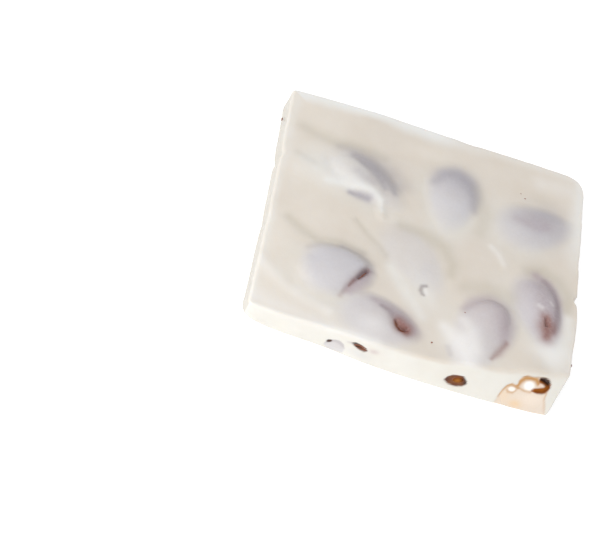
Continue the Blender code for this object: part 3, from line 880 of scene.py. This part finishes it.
def almond(name, pole="tip", cut=False, segments=96, rings=64):
    """An almond; where the knife met it, the pole's side ends in a flat cut."""
    spec = ALMONDS[name]
    clear_selection()
    bpy.ops.mesh.primitive_uv_sphere_add(segments=segments, ring_count=rings, radius=1.0)
    obj = bpy.context.object
    obj.name = obj.data.name = name + "_almond"
    x, y, z = vertex_places(obj).T
    angle, round_angle = np.arccos(np.clip(z, -1, 1)), np.arctan2(y, x)
    if cut:
        places, on_face = cut_places(angle, round_angle, spec, pole)
        wall = np.broadcast_to(LIT_WALL_TONES[FRONT], places.shape)
        keep_colours(obj, "cut_colour", cut_colours(places[:, 0], places[:, 2], wall))
        keep_values(obj, "cut_face", on_face)
    else:
        places = almond_skin(angle, round_angle, spec, pole)
    place_vertices(obj, places)
    outward_faces()
    return obj


# --- shader building ------------------------------------------------------

class Number:
    """A number that a finish works out, so that sums on it read as maths."""

    def __init__(self, finish, socket):
        self.finish, self.socket = finish, socket

    def _sum(self, operation, first, second):
        node = self.finish.node("ShaderNodeMath", {"operation": operation}, {0: first, 1: second})
        return Number(self.finish, node.outputs[0])

    def __add__(self, other):
        return self._sum("ADD", self, other)

    def __radd__(self, other):
        return self._sum("ADD", other, self)

    def __sub__(self, other):
        return self._sum("SUBTRACT", self, other)

    def __mul__(self, other):
        return self._sum("MULTIPLY", self, other)

    def __rmul__(self, other):
        return self._sum("MULTIPLY", other, self)


class Finish:
    """A material built node by node."""

    def __init__(self, name):
        self.material = bpy.data.materials.new(name)
        self.material.use_nodes = True
        self.tree = self.material.node_tree
        self.tree.nodes.clear()
        self.place = self.node("ShaderNodeTexCoord").outputs["Object"]

    def node(self, kind, settings=None, sockets=None):
        node = self.tree.nodes.new(kind)
        for name, value in (settings or {}).items():
            if name == "stops":
                for stop, (position, colour) in zip(node.color_ramp.elements, value):
                    stop.position, stop.color = position, colour
            else:
                setattr(node, name, value)
        for name, value in (sockets or {}).items():
            if isinstance(value, Number):
                value = value.socket
            if isinstance(value, bpy.types.NodeSocket):
                self.tree.links.new(value, node.inputs[name])
            else:
                node.inputs[name].default_value = value
        return node

    def noise(self, size, detail=3.0, roughness=0.5):
        """Noise from 0 to 1 with lumps of about this size in millimetres."""
        node = self.node("ShaderNodeTexNoise", None, {
            "Vector": self.place, "Scale": 1.0 / (size * MM), "Detail": detail,
            "Roughness": roughness})
        return Number(self, node.outputs["Fac"])

    def value(self, name):
        node = self.node("ShaderNodeAttribute", {"attribute_name": name})
        return Number(self, node.outputs["Fac"])

    def colour(self, name):
        return self.node("ShaderNodeAttribute", {"attribute_name": name}).outputs["Color"]

    def mix(self, share, first, second, blend="MIX"):
        node = self.node("ShaderNodeMix", {"data_type": "RGBA", "blend_type": blend},
                         {0: share, 6: first, 7: second})
        return node.outputs[2]

    def finish(self, sockets, bump, strength, distance):
        """Closes the finish: its surface sockets and the height of its grain."""
        normal = self.node("ShaderNodeBump", None, {
            "Strength": strength, "Distance": distance * MM, "Height": bump}).outputs[0]
        surface = self.node("ShaderNodeBsdfPrincipled", None, {**sockets, "Normal": normal})
        self.node("ShaderNodeOutputMaterial", None, {"Surface": surface.outputs[0]})
        return self.material


def shade(colour):
    return (*(float(c) for c in colour), 1.0)


def chocolate_finish():
    """White chocolate: satin, slightly waxy, faintly clouded."""
    finish = Finish("white_chocolate")
    laid = finish.colour("colour_and_painted_light")
    mottle = finish.value("mottle")
    cloud = finish.noise(7.0, 2.0)
    fine = finish.noise(0.7, 3.0)
    specks = finish.noise(0.9, 4.0, 0.65)
    # The laid colour holds painted shade and highlights besides the chocolate's own tints
    colour = finish.mix(cloud * 0.5 - 0.1, laid, (0.85, 0.80, 0.73, 1.0), "MULTIPLY")
    colour = finish.mix((fine - 0.45) * (0.10 + mottle * 0.9), colour, shade(WHITE_AND_HIGHLIGHT))
    colour = finish.mix((specks - 0.52) * mottle * 1.6, colour, shade(DUSK))
    return finish.finish({
        "Base Color": colour,
        "Roughness": 0.34 + 0.16 * finish.noise(3.0, 3.0),
        "Subsurface Weight": 0.35,
        "Subsurface Radius": (1.0, 0.85, 0.65),
        "Subsurface Scale": 1.2 * MM,
        "IOR": 1.46,
        "Specular IOR Level": 0.4,
    }, finish.noise(0.5, 4.0) + finish.noise(2.2, 2.0) * 1.5, 0.25, 0.06)


def skin_finish():
    """Almond skin: brown, dry and finely furrowed."""
    finish = Finish("almond_skin")
    streak = finish.noise(1.2, 4.0, 0.6)
    fine = finish.noise(0.35, 3.0)
    colour = finish.mix(streak, shade(DARK_SKIN), shade(PALE_SKIN))
    colour = finish.mix((fine - 0.5) * 0.7, colour, shade(tone(176, 124, 100)))
    return finish.finish({"Base Color": colour, "Roughness": 0.45 + 0.2 * fine, "IOR": 1.45},
                         streak + fine, 0.4, 0.12)


def cut_finish():
    """An almond that the knife met: flesh or bared skin on the cut face."""
    finish = Finish("cut_almond")
    streak = finish.noise(1.2, 4.0, 0.6)
    fine = finish.noise(0.3, 3.0)
    skin = finish.mix(streak, shade(DARK_SKIN), shade(PALE_SKIN))
    face = finish.mix(fine * 0.9, finish.colour("cut_colour"), (0.93, 0.90, 0.86, 1.0), "MULTIPLY")
    colour = finish.mix(finish.value("cut_face"), skin, face)
    return finish.finish({"Base Color": colour, "Roughness": 0.5 + 0.2 * fine, "IOR": 1.45,
                          "Specular IOR Level": 0.12, "Subsurface Weight": 0.08,
                          "Subsurface Radius": (1.0, 0.7, 0.4), "Subsurface Scale": 0.4 * MM},
                         streak * 0.6 + fine, 0.5, 0.08)


# --- the pieces -----------------------------------------------------------

def dress(obj, material):
    obj.data.materials.clear()
    obj.data.materials.append(material)


piece = slab()
piece.name = piece.data.name = "chocolate_slab"
dress(piece, chocolate_finish())
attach(piece, "root")
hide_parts("white_chocolate")

SKIN = skin_finish()
CUT = cut_finish()
for name in ("near_left", "right_side"):
    piece = almond(name)
    dress(piece, SKIN)
    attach(piece, "root")
    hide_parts("almond_" + name)

for name, pole, slot in (("near_middle", "side", "almond_skin"),
                         ("near_right", "tip", "almond_skin"),
                         ("cut_corner", "blunt", "almond_flesh"),
                         ("cut_tip", "blunt", "almond_flesh")):
    piece = almond(name, pole, cut=True, segments=128, rings=96)
    dress(piece, CUT)
    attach(piece, "root")
    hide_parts("almond_" + name)

# Crumbs of skin: place, with no height where it lies on the top, then size in
# millimetres and turn
FLECKS = [
    ((26.5, 23.7, None), (0.6, 0.45, 0.2), 0), ((25.2, 25.0, None), (0.3, 0.25, 0.15), 40),
    ((6.1, -33.2, None), (0.7, 0.35, 0.16), -50), ((13.6, -21.4, None), (0.6, 0.3, 0.15), 20),
    ((43.1, -27.9, 8.7), (0.5, 0.9, 0.9), 0), ((-42.8, 30.8, 5.0), (0.35, 1.1, 0.7), 0),
]


def fleck(place, size, turn):
    """A crumb of almond skin lying in the chocolate."""
    x, y, z = place
    if z is None:
        z = float(poured_top(np.array([x]), np.array([y]))[0])
    spot = Vector((x, y, z)) * MM
    clear_selection()
    bpy.ops.mesh.primitive_ico_sphere_add(subdivisions=3, radius=0.5 * MM, location=spot)
    obj = bpy.context.object
    bpy.ops.object.mode_set(mode="EDIT")
    bpy.ops.mesh.select_all(action="SELECT")
    bpy.ops.transform.resize(value=size, center_override=spot)
    bpy.ops.transform.rotate(value=math.radians(turn), orient_axis="Z", center_override=spot)
    bpy.ops.object.mode_set(mode="OBJECT")
    return obj


def skin_flecks():
    crumbs = [fleck(*spec) for spec in FLECKS]
    clear_selection()
    for crumb in crumbs:
        crumb.select_set(True)
    bpy.context.view_layer.objects.active = crumbs[0]
    bpy.ops.object.join()
    bpy.ops.object.transform_apply(location=True)
    obj = bpy.context.object
    obj.name = obj.data.name = "skin_flecks"
    places = vertex_places(obj) / MM
    x, y, z = places.T
    ragged = [share * grain(x, y, z, 0.35, seed) for share, seed in ((1, 51), (1, 52), (0.4, 53))]
    place_vertices(obj, places + 0.09 * np.stack(ragged, axis=1))
    outward_faces()
    return obj


piece = skin_flecks()
dress(piece, SKIN)
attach(piece, "root")


# --- floor, light and camera ----------------------------------------------

def stage():
    clear_selection()
    bpy.ops.mesh.primitive_plane_add(size=6.0, location=(0, 0, 0))
    floor = bpy.context.object
    floor.name = "floor"
    finish = Finish("plain_floor")
    level = finish.noise(60.0, 2.0)
    colour = finish.mix(level * 0.5, (0.95, 0.95, 0.95, 1.0), (0.98, 0.98, 0.98, 1.0))
    floor.data.materials.append(finish.finish({
        "Base Color": colour, "Roughness": 0.8, "Emission Color": (1.0, 1.0, 1.0, 1.0),
        "Emission Strength": 0.20}, level, 0.02, 0.1))


def soft_light(name, spot, size, power, colour=(1.0, 1.0, 1.0)):
    clear_selection()
    bpy.ops.object.light_add(type="AREA", location=spot)
    light = bpy.context.object
    light.name = name
    light.data.shape = "DISK"
    light.data.size = size
    light.data.energy = power * STUDIO
    light.data.color = colour
    light.rotation_euler = (-Vector(spot)).to_track_quat("-Z", "Y").to_euler()


stage()
soft_light("key", (-0.47, -0.46, 0.45), 0.5, 3.9, (1.0, 0.992, 0.98))
soft_light("fill", (0.6, 0.7, 0.9), 0.9, 1.5, (0.97, 0.98, 1.0))

world = bpy.data.worlds.new("studio")
world.use_nodes = True
world.node_tree.nodes["Background"].inputs["Color"].default_value = (1.0, 1.0, 1.0, 1.0)
world.node_tree.nodes["Background"].inputs["Strength"].default_value = 0.72 * STUDIO
bpy.context.scene.world = world
bpy.context.scene.view_settings.view_transform = "Standard"

CAMERA_SPOT = (-75.0, -312.1, 358.7)
CAMERA_RIGHT = (0.95678, 0.15171, 0.24809)
CAMERA_DOWN = (0.27334, -0.76037, -0.58917)
CAMERA_AHEAD = (0.09926, 0.63152, -0.76898)
clear_selection()
bpy.ops.object.camera_add(location=Vector(CAMERA_SPOT) * MM)
camera = bpy.context.object
turn = Matrix((CAMERA_RIGHT, -Vector(CAMERA_DOWN), -Vector(CAMERA_AHEAD))).transposed()
camera.rotation_euler = turn.to_quaternion().normalized().to_euler()
camera.data.sensor_width = 36.0
camera.data.lens = 108.0
camera.data.clip_start = 0.01
bpy.context.scene.camera = camera
